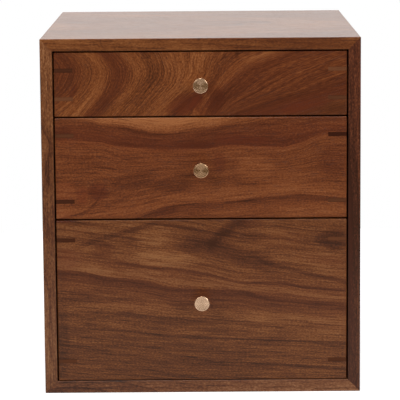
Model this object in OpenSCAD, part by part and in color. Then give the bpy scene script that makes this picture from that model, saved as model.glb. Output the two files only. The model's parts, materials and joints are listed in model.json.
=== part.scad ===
// Desktop chest of three drawers in walnut: a mitred case, keyed drawer boxes on
// side runners, and turned brass knobs.
// +X is to the right, +Y to the rear and +Z up. The origin is the middle of the underside.

/* [Case] */
// Outside width of the case
case_w = 260; // [220:1:320]
// Outside height of the case
case_h = 293; // [260:1:350]
// Depth of the case, from its front edges to its rear edges
case_d = 310; // [240:1:360]
// Thickness of the boards of the case
board_t = 10; // [9:0.5:14]
// Width of the eased edges of the case
case_arris = 0.4; // [0.3:0.1:1.2]

/* [Mitre splines] */
// Thickness of the blind spline in each mitre of the case
spline_t = 3; // [2:0.5:3.5]
// Width of a spline, across the mitre
spline_w = 7; // [5:0.5:8]
// Distance along the mitre from its inner corner to the spline's middle
spline_in = 6; // [5.5:0.5:7]
// Distance from each end of a spline to the front or rear edges
spline_stop = 18; // [12:1:30]
// Play at the ends of a spline in its groove
spline_play = 0.8; // [0.2:0.1:2]

/* [Back panel] */
// Thickness of the back panel
back_t = 5; // [4:0.5:8]
// Depth of the rabbet for the back panel into the boards' thickness
rabbet_in = 5.5; // [4:0.5:7]
// Distance from the back panel to the case's rear edges
back_set = 1.5; // [0.5:0.5:4]
// Play of the back panel in its rabbet, on each side
back_play = 0.3; // [0.1:0.1:0.8]
// Distance from a corner of the panel to its nearest screws
back_screw_in = 32; // [22:1:60]

/* [Drawers] */
// Height of the top drawer
top_h = 52.1; // [46:0.1:70]
// Height of the middle drawer
middle_h = 83; // [60:0.5:100]
// Gap beside and over each drawer front
front_gap = 1.2; // [0.8:0.1:2]
// Gap under the bottom drawer
bottom_gap = 0.4; // [0.4:0.1:2]
// Distance that the drawer fronts sit behind the case's front edges
front_set = 0.4; // [0.2:0.1:2]
// Thickness of the boards of the drawers
drawer_t = 9.5; // [8.5:0.5:12]
// Gap between the drawers and the back panel
rear_gap = 4; // [2:0.5:10]
// Width of the eased edges of the drawers
drawer_arris = 0.6; // [0.2:0.1:1]

/* [Corner keys] */
// Thickness of the keys across the drawers' mitred corners
key_t = 3.2; // [2:0.1:4]
// Length of a key along each face of its corner
key_leg = 15.3; // [10:0.1:16]
// Distance from a drawer's upper or lower edge to its key, at the top and middle drawers
key_in = 12.8; // [11.5:0.1:14]
// The same distance at the bottom drawer
bottom_key_in = 14.8; // [11.5:0.1:30]

/* [Drawer bottoms] */
// Thickness of the panel that is a drawer's bottom
panel_t = 4; // [3:0.5:5]
// Depth of the groove that holds the panel
panel_in = 4.5; // [3:0.5:5]
// Height of that groove over the drawer's lower edge
panel_up = 5.5; // [4:0.5:6]
// Play of the panel in its groove
panel_play = 0.2; // [0.1:0.1:0.4]

/* [Runners] */
// Height of the running groove in the drawers' sides
groove_h = 10; // [8:0.5:11]
// Depth of the running groove
groove_in = 4.5; // [3:0.5:5]
// Distance from a drawer's front face to the round end of its running groove
groove_start = 24; // [22:1:50]
// Depth that the runners are housed in the case's sides
housing_in = 2; // [1:0.5:3]
// Gap between the top of a runner and its groove, where the drawer is carried
run_top = 0.2; // [0.1:0.1:0.3]
// Gap under a runner in its groove
run_low = 0.4; // [0.2:0.1:0.6]
// Gap between a runner and the floor of its groove
run_side = 0.5; // [0.3:0.1:1]
// Distance from a runner's rear end to the back panel
runner_rear = 10; // [4:1:30]

/* [Knobs] */
// Diameter of a knob's head
knob_d = 12.2; // [11:0.1:16]
// Distance from the drawer front to the knob's face
knob_l = 16; // [13:0.5:20]
// Thickness of the head at its rim
head_t = 3; // [2:0.1:4]
// Radius of the rounded edges of the head
head_round = 0.5; // [0.2:0.1:0.9]
// Width of the rim round the dished face
rim_w = 0.9; // [0.6:0.1:1.5]
// Depth of the dish in the face
dish_deep = 0.35; // [0.1:0.05:0.6]
// Diameter of the neck at its waist
neck_d = 5.4; // [5.4:0.1:5.8]
// Diameter of the neck where it flares into the head
flare_d = 9.4; // [7.5:0.1:10]
// Diameter of the base, which seats on the drawer front
base_d = 6.8; // [6.7:0.1:9]
// Thickness of the base
base_t = 1; // [0.8:0.1:1.2]

/* [Knob screws] */
// Diameter of the machine screw in a knob
bolt_d = 3.5; // [3:0.5:4]
// Length of its thread inside the knob
bolt_in = 8; // [6:0.5:10]
// Play round the machine screw
bolt_play = 0.15; // [0.1:0.05:0.3]
// Diameter of the screw's pan head
pan_d = 7; // [6:0.1:8]
// Height of the pan head
pan_t = 2.2; // [1.8:0.1:3]
// Diameter of the washer under it
washer_d = 10; // [8.5:0.5:12]
// Thickness of the washer
washer_t = 0.8; // [0.5:0.1:1.2]

/* [Wood screws] */
// Diameter of the screws through the runners
screw_d = 2.9; // [2.5:0.1:3.5]
// Diameter of their countersunk heads
screw_head_d = 5.6; // [5:0.1:7]
// Length of the screws through the runners
screw_l = 13; // [11:0.5:14]
// Distance from each end of a runner to its nearest screw
screw_end = 24; // [14:1:60]
// Diameter of the back panel's screws
pin_d = 2.2; // [1.8:0.1:2.4]
// Diameter of their countersunk heads
pin_head_d = 4.2; // [3.6:0.1:4.4]
// Length of the back panel's screws
pin_l = 15; // [12:0.5:20]
// Play round each screw in its hole
screw_play = 0.08; // [0.05:0.01:0.15]

/* [Hidden] */
$fn = 64;
cut = 1; // how far a cutting shape runs past what it cuts
dish_fn = 720; // facets of the wide, shallow circle that cuts the dish

// Case
half_w = case_w / 2;
half_h = case_h / 2;
front_y = -case_d / 2;
rear_y = case_d / 2;
inner_w = case_w - 2 * board_t;
inner_h = case_h - 2 * board_t;
panel_y = rear_y - back_set - back_t; // front face of the back panel
rabbet_deep = back_t + back_set;
rabbet_y = case_d - rabbet_deep; // the rabbet's shoulder, from the front edges

// Drawers, listed from the top one to the bottom one
bottom_h = inner_h - top_h - middle_h - 3 * front_gap - bottom_gap;
DRAWERS = ["top", "middle", "bottom"];
drawer_h = [top_h, middle_h, bottom_h];
bottom_z = board_t + bottom_gap;
middle_z = bottom_z + bottom_h + front_gap;
drawer_z = [middle_z + middle_h + front_gap, middle_z, bottom_z];
drawer_key_in = [key_in, key_in, bottom_key_in];
drawer_w = inner_w - 2 * front_gap;
drawer_front_y = front_y + front_set;
drawer_d = panel_y - rear_gap - drawer_front_y;
drawer_y = drawer_front_y + drawer_d / 2; // middle of the drawers

// Runners
runner_h = groove_h - run_top - run_low;
runner_out = inner_w / 2 + housing_in; // outer face of a runner, from the middle of the case
runner_in = drawer_w / 2 - groove_in + run_side; // inner face of a runner
runner_nose_y = drawer_front_y + groove_start + groove_h / 2; // centre of the round end
runner_end_y = panel_y - runner_rear;
runner_screw_y = [
    runner_nose_y + screw_end,
    (runner_nose_y + runner_end_y) / 2,
    runner_end_y - screw_end
];

// Knobs
knob_r = knob_d / 2;
dish_r = knob_r - rim_w;
dish_ball = (dish_r * dish_r + dish_deep * dish_deep) / (2 * dish_deep); // radius of the cutter
head_y = knob_l - head_t; // where the head starts, from the drawer front
base_round = base_t / 3;
seat_r = base_d / 2 - base_round; // where the neck starts on the base
base_swell = seat_r - neck_d / 2; // how far the neck swells from its waist, at each end
head_swell = (flare_d - neck_d) / 2;
waist_r = pow((head_y - base_t) / (sqrt(base_swell) + sqrt(head_swell)), 2) / 2; // the neck's long curve
waist_y = base_t + sqrt(2 * waist_r * base_swell - base_swell * base_swell);
shank_l = drawer_t + washer_t + bolt_in;

// Back panel
panel_w = inner_w + 2 * rabbet_in - 2 * back_play;
panel_h = inner_h + 2 * rabbet_in - 2 * back_play;
ledge_mid = rabbet_in / 2; // middle of the rabbet's shoulder, outside the inner face
back_screw_x = inner_w / 2 + ledge_mid;
back_screw_z = inner_h / 2 + ledge_mid;
corner_x = panel_w / 2 - back_screw_in;
corner_z = panel_h / 2 - back_screw_in;
back_screws = [ // from the middle of the case
    for (z = [-back_screw_z, back_screw_z], x = [-corner_x, 0, corner_x]) [x, z],
    for (x = [-back_screw_x, back_screw_x], z = [-corner_z, 0, corner_z]) [x, z]
];

CASE_NODES = [
    "case_top", "case_bottom", "case_left_side", "case_right_side",
    "case_mitre_splines", "back_panel", "back_panel_screws", "runner_screws"
];
NODES = concat(
    CASE_NODES,
    [for (d = DRAWERS, side = ["left", "right"]) str(d, "_", side, "_runner")],
    [for (d = DRAWERS, piece = [
        "front", "left_side", "right_side", "back", "bottom", "corner_keys",
        "knob", "knob_screw", "knob_washer"
    ]) str(d, "_drawer_", piece)]
);
node = "all";

walnut = "#6b4026";
dark_walnut = "#3f2212";
maple = "#d9b98a";
birch = "#dcc39a";
brass = "#c9a56a";
steel = "#b9bcc0";

// Plain shapes ---------------------------------------------------------------

// A rectangle from the origin whose four corners are cut off by an arris
module eased_rect(size, arris) {
    w = size[0];
    h = size[1];
    polygon([
        [arris, 0], [w - arris, 0], [w, arris], [w, h - arris],
        [w - arris, h], [arris, h], [0, h - arris], [0, arris]
    ]);
}

// Draws a section along X. The section's own x lies along Y, and its y along Z.
module along_x(length) {
    rotate([90, 0, 90]) linear_extrude(height = length, center = true) children();
}

// The outline of a board that is mitred at both ends, as long as the frame's side.
// The frame's side lies at half, and the section runs up to it.
module mitred_outline(length, half, thickness) {
    depth = thickness + cut;
    end = length / 2;
    polygon([[-end, half], [end, half], [end - depth, half - depth], [depth - end, half - depth]]);
}

// Puts what is drawn across a section in the XZ plane, and extrudes it along Y
module along_y(from, to) {
    translate([0, to, 0]) rotate([90, 0, 0]) linear_extrude(height = to - from) children();
}

// A countersunk wood screw or its hole, with its head's flat face at the origin and its tip down -Z
module wood_screw(d, head_d, length, play = 0) {
    head_deep = (head_d - d) / 2;
    r = d / 2 + play;
    head_r = head_d / 2 + play;
    tip = d;
    rotate_extrude() polygon([
        [0, play], [head_r, play], [head_r, 0], [r, -head_deep],
        [r, tip - length], [0.2, -length - play], [0, -length - play]
    ]);
}

// Case -------------------------------------------------------------------------

// Section of a case board: x runs from the front edge back, y from the inner face out
module case_section() {
    difference() {
        eased_rect([case_d, board_t], case_arris);
        translate([rabbet_y, -cut]) square([rabbet_deep + cut, rabbet_in + cut]);
    }
}

// A case board that lies on top of the frame, as seen from the middle of the case
module case_board(length, half) {
    intersection() {
        translate([0, front_y, half - board_t]) along_x(length) case_section();
        along_y(front_y - cut, rear_y + cut) mitred_outline(length, half, board_t);
    }
}

// Turns a board from the top of the case to one of its four sides, and lifts it in place
module on_case(turn) {
    translate([0, 0, half_h]) rotate([0, turn, 0]) children();
}

// The four outer corners of the case, which are eased all along
module case_block() {
    along_y(front_y - cut, rear_y + cut)
        translate([-half_w, 0]) eased_rect([case_w, case_h], case_arris);
}

// The blind splines lie square across the mitres, at each of the four corners
module mitre_splines(play = 0) {
    length = case_d - 2 * spline_stop + 2 * play;
    for (x = [-1, 1], z = [-1, 1])
        translate([x * inner_w / 2, 0, half_h + z * inner_h / 2])
            rotate([0, -45 * x * z, 0])
                translate([x * spline_in, 0, 0])
                    cube([spline_t, length, spline_w], center = true);
}

// The back panel's screws, or their holes
module back_screws(play = 0) {
    for (p = back_screws)
        translate([p[0], rear_y - back_set, half_h + p[1]])
            rotate([-90, 0, 0]) wood_screw(pin_d, pin_head_d, pin_l, play);
}

// The three screws of each runner, or their holes
module side_screws(side, play = 0) {
    for (i = [0:2], y = runner_screw_y)
        translate([side * runner_in, y, runner_z(i)])
            rotate([0, -90 * side, 0]) wood_screw(screw_d, screw_head_d, screw_l, play);
}

module case_horizontal(turn) {
    color(walnut) difference() {
        intersection() {
            on_case(turn) case_board(case_w, half_h);
            case_block();
        }
        mitre_splines(spline_play);
        back_screws(screw_play);
    }
}

module case_side(side) {
    color(walnut) difference() {
        intersection() {
            on_case(90 * side) case_board(case_h, half_w);
            case_block();
        }
        mitre_splines(spline_play);
        back_screws(screw_play);
        for (i = [0:2]) runner_bar(i, side);
        side_screws(side, screw_play);
    }
}

module back_panel() {
    color(walnut) difference() {
        translate([-panel_w / 2, panel_y, half_h - panel_h / 2])
            cube([panel_w, back_t, panel_h]);
        back_screws(screw_play);
    }
}

// Runners ------------------------------------------------------------------------

// Height of the middle of a runner. It sits run_top under its groove's upper wall.
function runner_z(i) = drawer_z[i] + drawer_h[i] / 2 + (run_low - run_top) / 2;

// A bar with a round front end, centred on a height and drawn between two distances from the middle
module nosed_bar(height, end_y, x_from, x_to, side) {
    translate([side * (x_from + x_to) / 2, 0, 0]) along_x(x_to - x_from) {
        translate([runner_nose_y, -height / 2]) square([end_y - runner_nose_y, height]);
        translate([runner_nose_y, 0]) circle(d = height);
    }
}

module runner_bar(i, side) {
    translate([0, 0, runner_z(i)])
        nosed_bar(runner_h, runner_end_y, runner_in, runner_out, side);
}

module runner(i, side) {
    color(maple) difference() {
        runner_bar(i, side);
        side_screws(side, screw_play);
    }
}

// The groove in a drawer's side that runs on the runner, open at the rear
module running_groove(i, side) {
    translate([0, 0, drawer_z[i] + drawer_h[i] / 2])
        nosed_bar(groove_h, panel_y, drawer_w / 2 - groove_in, drawer_w / 2 + cut, side);
}

// Drawers -------------------------------------------------------------------------

// Section of a drawer's board: x runs from the inner face out, y from the lower edge up
module drawer_section(height) {
    difference() {
        eased_rect([drawer_t, height], drawer_arris);
        translate([-cut, panel_up]) square([panel_in + cut, panel_t + panel_play]);
    }
}

// A drawer's board at the rear of its box, as seen from the middle of the drawer
module drawer_board(length, half, height) {
    intersection() {
        translate([0, half - drawer_t, 0]) along_x(length) drawer_section(height);
        linear_extrude(height = height) mitred_outline(length, half, drawer_t);
    }
}

module in_drawer(i, turn = 0) {
    translate([0, drawer_y, drawer_z[i]]) rotate([0, 0, turn]) children();
}

// The outline of a drawer from above, with its four corners eased
module drawer_outline() {
    translate([-drawer_w / 2, -drawer_d / 2]) eased_rect([drawer_w, drawer_d], drawer_arris);
}

// The keys of a drawer are flush triangles let into its corners, two at each
module keys(i) {
    for (z = [drawer_key_in[i], drawer_h[i] - drawer_key_in[i] - key_t], x = [-1, 1], y = [-1, 1])
        translate([0, 0, z]) linear_extrude(height = key_t)
            translate([x * drawer_w / 2, y * drawer_d / 2])
                polygon([[0, 0], [-x * key_leg, 0], [0, -y * key_leg]]);
}

// What is cut from the four boards of a drawer once they are put together
module joinery(i) {
    in_drawer(i) keys(i);
    for (side = [-1, 1]) running_groove(i, side);
    on_front(i) translate([0, 0, -drawer_t - cut])
        cylinder(d = bolt_d + 2 * bolt_play, h = drawer_t + 2 * cut);
}

module drawer_side(i, turn, length, half) {
    color(walnut) difference() {
        intersection() {
            in_drawer(i, turn) drawer_board(length, half, drawer_h[i]);
            in_drawer(i) linear_extrude(height = drawer_h[i]) drawer_outline();
        }
        joinery(i);
    }
}

module drawer_bottom(i) {
    w = drawer_w - 2 * (drawer_t - panel_in) - 2 * panel_play;
    d = drawer_d - 2 * (drawer_t - panel_in) - 2 * panel_play;
    color(birch) in_drawer(i)
        translate([-w / 2, -d / 2, panel_up]) cube([w, d, panel_t]);
}

module corner_keys(i) {
    color(dark_walnut) in_drawer(i) intersection() {
        keys(i);
        linear_extrude(height = drawer_h[i]) drawer_outline();
    }
}

// Knobs ----------------------------------------------------------------------------

// Puts what is drawn on the middle of a drawer's front, with +Z pointing out of it
module on_front(i) {
    translate([0, drawer_front_y, drawer_z[i] + drawer_h[i] / 2])
        rotate([90, 0, 0]) children();
}

// A disc's section whose outer edges are rounded, from the axis out
module round_edged(radius, height, edge) {
    square([radius - edge, height]);
    translate([0, edge]) square([radius, height - 2 * edge]);
    for (y = [edge, height - edge]) translate([radius - edge, y]) circle(r = edge);
}

// A knob's section: base, waisted neck and head, from the axis out
module knob_section() {
    round_edged(base_d / 2, base_t, base_round);
    difference() {
        translate([0, base_t / 2]) square([knob_r - head_round, knob_l - (base_t + head_t) / 2]);
        translate([neck_d / 2 + waist_r, waist_y]) circle(r = waist_r, $fn = dish_fn);
        translate([seat_r, 0]) square([knob_d, waist_y]);
    }
    translate([0, head_y]) round_edged(knob_r, head_t, head_round);
}

module knob(i) {
    color(brass) on_front(i) rotate_extrude() difference() {
        knob_section();
        translate([0, knob_l + dish_ball - dish_deep]) circle(r = dish_ball, $fn = dish_fn);
        translate([0, -cut]) square([bolt_d / 2 + bolt_play, bolt_in + bolt_play + cut]);
        translate([-knob_d, -cut]) square([knob_d, knob_l + 2 * cut]);
    }
}

// The machine screw comes through the front from inside the drawer
module knob_screw(i) {
    dome = pan_t / 2;
    dome_r = (pan_d * pan_d / 4 + dome * dome) / (2 * dome);
    color(steel) on_front(i) translate([0, 0, -drawer_t - washer_t]) rotate_extrude() {
        translate([0, -cut]) square([bolt_d / 2, shank_l + cut]);
        translate([0, -pan_t / 2]) square([pan_d / 2, pan_t / 2]);
        intersection() {
            translate([0, dome_r - pan_t]) circle(r = dome_r, $fn = dish_fn);
            translate([0, -pan_t]) square([pan_d / 2, pan_t]);
        }
    }
}

module knob_washer(i) {
    color(steel) on_front(i) translate([0, 0, -drawer_t - washer_t]) difference() {
        cylinder(d = washer_d, h = washer_t);
        translate([0, 0, -cut]) cylinder(d = bolt_d + 2 * bolt_play, h = washer_t + 2 * cut);
    }
}

// Nodes -----------------------------------------------------------------------------

function shown(name) = node == "all" || node == name;

if (shown("case_top")) case_horizontal(0);
if (shown("case_bottom")) case_horizontal(180);
if (shown("case_left_side")) case_side(-1);
if (shown("case_right_side")) case_side(1);
if (shown("case_mitre_splines")) color(maple) mitre_splines();
if (shown("back_panel")) back_panel();
if (shown("back_panel_screws")) color(steel) back_screws();
if (shown("runner_screws")) color(steel) for (side = [-1, 1]) side_screws(side);

for (i = [0:2]) {
    box = str(DRAWERS[i], "_drawer_");
    if (shown(str(DRAWERS[i], "_left_runner"))) runner(i, -1);
    if (shown(str(DRAWERS[i], "_right_runner"))) runner(i, 1);
    if (shown(str(box, "front"))) drawer_side(i, 180, drawer_w, drawer_d / 2);
    if (shown(str(box, "back"))) drawer_side(i, 0, drawer_w, drawer_d / 2);
    if (shown(str(box, "left_side"))) drawer_side(i, 90, drawer_d, drawer_w / 2);
    if (shown(str(box, "right_side"))) drawer_side(i, -90, drawer_d, drawer_w / 2);
    if (shown(str(box, "bottom"))) drawer_bottom(i);
    if (shown(str(box, "corner_keys"))) corner_keys(i);
    if (shown(str(box, "knob"))) knob(i);
    if (shown(str(box, "knob_screw"))) knob_screw(i);
    if (shown(str(box, "knob_washer"))) knob_washer(i);
}
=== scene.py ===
import bmesh
import bpy
import json
import math
from mathutils import Matrix, Vector


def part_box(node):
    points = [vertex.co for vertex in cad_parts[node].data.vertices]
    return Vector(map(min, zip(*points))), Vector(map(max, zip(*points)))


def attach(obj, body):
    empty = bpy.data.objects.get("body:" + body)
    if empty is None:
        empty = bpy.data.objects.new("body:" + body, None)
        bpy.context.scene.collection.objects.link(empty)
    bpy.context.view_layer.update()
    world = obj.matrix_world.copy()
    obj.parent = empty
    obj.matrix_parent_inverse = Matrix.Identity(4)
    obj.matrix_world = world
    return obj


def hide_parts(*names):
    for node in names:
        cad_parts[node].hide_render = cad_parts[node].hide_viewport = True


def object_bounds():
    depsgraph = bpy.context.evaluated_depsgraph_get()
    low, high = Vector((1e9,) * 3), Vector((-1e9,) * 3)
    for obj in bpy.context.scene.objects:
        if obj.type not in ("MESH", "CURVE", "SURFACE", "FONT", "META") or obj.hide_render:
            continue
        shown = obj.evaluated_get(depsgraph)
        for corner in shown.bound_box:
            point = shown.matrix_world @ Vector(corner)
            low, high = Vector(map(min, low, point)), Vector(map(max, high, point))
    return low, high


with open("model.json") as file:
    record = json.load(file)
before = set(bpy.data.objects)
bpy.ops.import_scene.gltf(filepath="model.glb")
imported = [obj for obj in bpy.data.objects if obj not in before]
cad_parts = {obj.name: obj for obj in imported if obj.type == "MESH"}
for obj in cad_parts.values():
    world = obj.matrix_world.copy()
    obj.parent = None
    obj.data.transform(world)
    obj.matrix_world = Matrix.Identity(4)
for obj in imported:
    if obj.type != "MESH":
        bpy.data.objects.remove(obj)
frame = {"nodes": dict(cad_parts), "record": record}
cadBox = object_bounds()
print("frame loaded:", len(frame["nodes"]), "nodes")

mm = 0.001
drawers = ("top", "middle", "bottom")
slotOf = {part["node"]: part["material_slot"] for part in frame["record"]["subparts"]}
bodies = frame["record"]["behaviour"]["bodies"]
bodyOf = {node: body for body, nodes in bodies.items() for node in nodes}


def srgb(*levels):
    # a colour as it looks on a screen, made linear
    shares = [level / 255 for level in levels]
    return (*(s / 12.92 if s <= 0.04045 else ((s + 0.055) / 1.055) ** 2.4 for s in shares), 1)


class Value:
    # a socket's number, so that sums with it read as sums
    def __init__(self, graph, socket):
        self.graph = graph
        self.socket = socket

    def math(self, operation, *others):
        return self.graph.node("Math", [self, *others], operation=operation)["Value"]

    def __add__(self, other):
        return self.math("ADD", other)

    def __sub__(self, other):
        return self.math("SUBTRACT", other)

    def __mul__(self, other):
        return self.math("MULTIPLY", other)

    __radd__ = __add__
    __rmul__ = __mul__

    def __truediv__(self, other):
        return self.math("DIVIDE", other)

    def __pow__(self, other):
        return self.math("POWER", other)

    def __rsub__(self, other):
        return self.graph.node("Math", [other, self], operation="SUBTRACT")["Value"]

    def share(self, start, end):
        # goes evenly from 0 to 1 while the value goes from start to end
        return self.graph.node("MapRange", {"Value": self, "From Min": start,
                                            "From Max": end})["Result"]

    def ease(self, start, end, low=0.0, high=1.0):
        # goes smoothly from low to high while the value goes from start to end
        return self.graph.node("MapRange", {"Value": self, "From Min": start, "From Max": end,
                                            "To Min": low, "To Max": high},
                               interpolation_type="SMOOTHSTEP")["Result"]

    def drawn(self, points, bent=True):
        # reads a drawn curve, given as points of (value, result)
        start, end = points[0][0], points[-1][0]
        results = [result for _, result in points]
        low, high = min(results), max(results)
        room = (high - low) * 0.1 + 0.001  # the curve may swing a little past its points
        low, high = low - room, high + room
        places = [((x - start) / (end - start), (y - low) / (high - low)) for x, y in points]
        curve = self.graph.node("FloatCurve", {"Value": self.share(start, end)},
                                points=(places, bent))["Value"]
        return curve * (high - low) + low


class Graph:
    # the nodes of one material, world or modifier
    def __init__(self, tree):
        self.tree = tree

    def node(self, kind, inputs=(), **settings):
        # adds a node, with its settings made first, and gives its outputs by name
        made = self.tree.nodes.new(kind if "Node" in kind else "ShaderNode" + kind)
        for key, value in settings.items():
            if key == "stops":
                self.setStops(made.color_ramp, value)
            elif key == "points":
                self.setCurve(made.mapping, *value)
            else:
                setattr(made, key, value)
        for key, value in inputs.items() if isinstance(inputs, dict) else enumerate(inputs):
            self.feed(made.inputs[key], value)
        return {output.name: Value(self, output) for output in made.outputs if output.enabled}

    def feed(self, socket, value):
        if isinstance(value, Value):
            self.tree.links.new(value.socket, socket)
        else:
            socket.default_value = value

    def setStops(self, ramp, stops):
        while len(ramp.elements) < len(stops):
            ramp.elements.new(1)
        for element, (place, colour) in zip(ramp.elements, stops):
            element.position = place
            element.color = colour

    def setCurve(self, mapping, points, bent):
        curve = mapping.curves[0]
        while len(curve.points) < len(points):
            curve.points.new(0.5, 0.5)
        for point, place in zip(curve.points, points):
            point.location = place
            point.handle_type = "AUTO" if bent else "VECTOR"
        mapping.extend = "HORIZONTAL"
        mapping.update()

    def noise(self, look, place, seed=1):
        # look gives the waves to a millimetre on each axis, and how far the seed shifts them
        spot = [part * count if count else 0 for part, count in zip(place, look["waves"])]
        shifts = look.get("shift", (0, 0, 0))
        spot = [part + seed * shift if shift else part for part, shift in zip(spot, shifts)]
        point = self.node("CombineXYZ", spot)["Vector"]
        made = self.node("TexNoise", {"Vector": point, "Scale": 1.0,
                                      "Detail": look.get("detail", 3.0),
                                      "Roughness": look.get("rough", 0.5)})["Fac"]
        return made.ease(*look["shown"]) if "shown" in look else made

    def mix(self, share, first, second, blend="MIX"):
        return self.node("Mix", {0: share, 6: first, 7: second}, data_type="RGBA",
                         blend_type=blend)["Result"]

    def attribute(self, name):
        return self.node("Attribute", attribute_name=name)["Fac"]

    def shape(self, kind, inputs=(), **settings):
        # adds a geometry node and gives its first output
        return list(self.node("GeometryNode" + kind, inputs, **settings).values())[0]

    def place(self):
        # the point on the object in millimetres: x, y and z
        point = self.node("Mapping", {"Vector": self.node("TexCoord")["Object"],
                                      "Scale": (1 / mm, 1 / mm, 1 / mm)})["Vector"]
        return tuple(self.node("SeparateXYZ", [point]).values())


class Material(Graph):
    def __init__(self, name):
        self.material = bpy.data.materials.new(name)
        self.material.use_nodes = True
        super().__init__(self.material.node_tree)
        self.shader = self.tree.nodes["Principled BSDF"]

    def finish(self, colour, rough, bump=None, depth=0.0, **constants):
        # depth is the height in millimetres of a bump of 1
        self.feed(self.shader.inputs["Base Color"], colour)
        self.feed(self.shader.inputs["Roughness"], rough)
        if bump is not None:
            raised = self.node("Bump", {"Strength": 1.0, "Distance": depth * mm, "Height": bump})
            self.feed(self.shader.inputs["Normal"], raised["Normal"])
        for name, value in constants.items():
            self.shader.inputs[name].default_value = value
        return self.material


walnutTones = [
    (0.0, srgb(56, 29, 12)),
    (0.3, srgb(83, 44, 22)),
    (0.5, srgb(104, 57, 27)),
    (0.7, srgb(123, 71, 35)),
    (1.0, srgb(152, 98, 55)),
]
# shade, matt and relief are how strongly a streak darkens the wood, dulls it and stands up
walnutGrain = {
    "fibre": {"waves": (0.035, 0.6, 0.6), "shift": (7.1, 0, 0), "detail": 4.0, "rough": 0.65,
              "shade": 1.0, "matt": 0.16, "relief": 0.5},
    "fine": {"waves": (0.55, 1.3, 1.3), "shift": (0, 1, 0), "rough": 0.65, "shade": 1.5,
             "relief": 0.3},
    "line": {"waves": (0.04, 0.95, 0.95), "shift": (0, 0, 5), "detail": 2.0, "rough": 0.6,
             "shown": (0.54, 0.68), "shade": 0.28},
    "pore": {"waves": (0.13, 3.8, 3.8), "shift": (0, 0, 1), "detail": 1.0, "shown": (0.62, 0.74),
             "shade": 0.5, "matt": 0.2, "relief": -1},
    "reds": srgb(97, 43, 22),
    "poreColour": srgb(42, 20, 10),
    "rough": 0.32,
    "relief": 0.03,
    "index": 1.27,
}


def walnut(g, tone, red, place, seed, tint, strength):
    # tone runs from dark at 0 to light at 1, and place is along the fibres, across them and deep
    look = walnutGrain
    fibre, fine, line, pore = [g.noise(look[name], place, seed)
                               for name in ("fibre", "fine", "line", "pore")]
    shade = tone + (fibre - 0.5) * (look["fibre"]["shade"] * strength)
    shade = shade + (fine - 0.5) * (look["fine"]["shade"] * strength)
    shade = shade - line * (look["line"]["shade"] * strength)
    base = g.node("ValToRGB", [shade], stops=walnutTones)["Color"]
    reddish = g.mix(red, base, look["reds"])
    tinted = g.mix(1.0, reddish, tint, "MULTIPLY")
    colour = g.mix(pore * look["pore"]["shade"], tinted, look["poreColour"])
    rough = look["rough"] + (fibre - 0.5) * look["fibre"]["matt"] + pore * look["pore"]["matt"]
    relief = fibre * look["fibre"]["relief"] + fine * look["fine"]["relief"]
    relief = relief + pore * look["pore"]["relief"]
    return g.finish(colour, rough, relief, look["relief"], IOR=look["index"])


def alongGrain(g, grain):
    # a board's place: along its grain, across it in its face, and into the board
    x, y, z = g.place()
    return {"x": (x, z, y), "flat": (x, y, z), "y": (y, z, x), "z": (z, x, y),
            "side": (z, y, x)}[grain]


# how a log's rings show on a plain board
logLook = {
    "pith": 60,  # the log's middle lies this far behind the face
    "taper": 0.06,
    "sway": {"waves": (0.008, 0.012, 0), "shift": (3.7, 0, 1), "detail": 2.0,
             "wide": 30, "deep": 16},
    "band": {"waves": (0.003, 0.07, 0), "shift": (0, 0, 1), "rough": 0.6, "tone": 1.1},
    "ring": 4.5,
    "ringUneven": 1.5,
    "ringSharp": 4,
    "ringDark": 0.28,
    "patchy": {"waves": (0.004, 0.16, 0), "shift": (1, 0, 1), "detail": 2.0,
               "shown": (0.36, 0.62)},
    "curl": {"waves": (0.06, 0.012, 0), "shift": (0, 0, 2), "detail": 1.0, "slant": 1 / 3},
    "reds": (0.05, -0.2, 0.0, 0.3),
    "frontEdge": (-130, -150),  # y from which the front edge has its own tone, and where in full
    "tintTurns": (40, 260),  # heights between which tint turns into tintAbove
}


def plankWalnut(name, grain, seed, tone, tint=(1, 1, 1), tintAbove=None, heart=0.0, curl=0.0,
                drift=0.0, lean=0.0, leanFrom=0.0, edge=None, strength=1.0):
    # a plain board, sawn from a log whose middle lies behind its face, and at heart across it;
    # drift is how much lighter it gets over 100 mm along, and lean over 10 mm of depth;
    # edge is how much lighter its front edge is, by the place along
    look = logLook
    g = Material(name)
    along, across, deep = alongGrain(g, grain)
    sway = g.noise(look["sway"], (along, across, 0), seed) - 0.5
    side = across - heart + sway * look["sway"]["wide"]
    inward = deep + sway * look["sway"]["deep"] + look["pith"] + along * look["taper"]
    radius = (side * side + inward * inward) ** 0.5
    band = g.noise(look["band"], (along, radius, 0), seed) - 0.5
    growth = (radius / look["ring"] + band * look["ringUneven"]).math("FRACT") ** look["ringSharp"]
    growth = growth * g.noise(look["patchy"], (along, radius, 0), seed)
    wave = g.noise(look["curl"], (along + across * look["curl"]["slant"], across, 0), seed) - 0.5
    figure = tone + band * look["band"]["tone"] - growth * look["ringDark"]
    figure = figure + wave * curl + along * (drift / 100)
    if lean:
        figure = figure + (deep - leanFrom) * (lean / 10)
    if edge:
        figure = figure + across.ease(*look["frontEdge"]) * along.drawn(edge)
    tints = (*tint, 1)
    if tintAbove:
        tints = g.mix(along.ease(*look["tintTurns"]), tints, (*tintAbove, 1))
    return walnut(g, figure, band.ease(*look["reds"]), (along, across, deep), seed, tints, strength)


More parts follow.
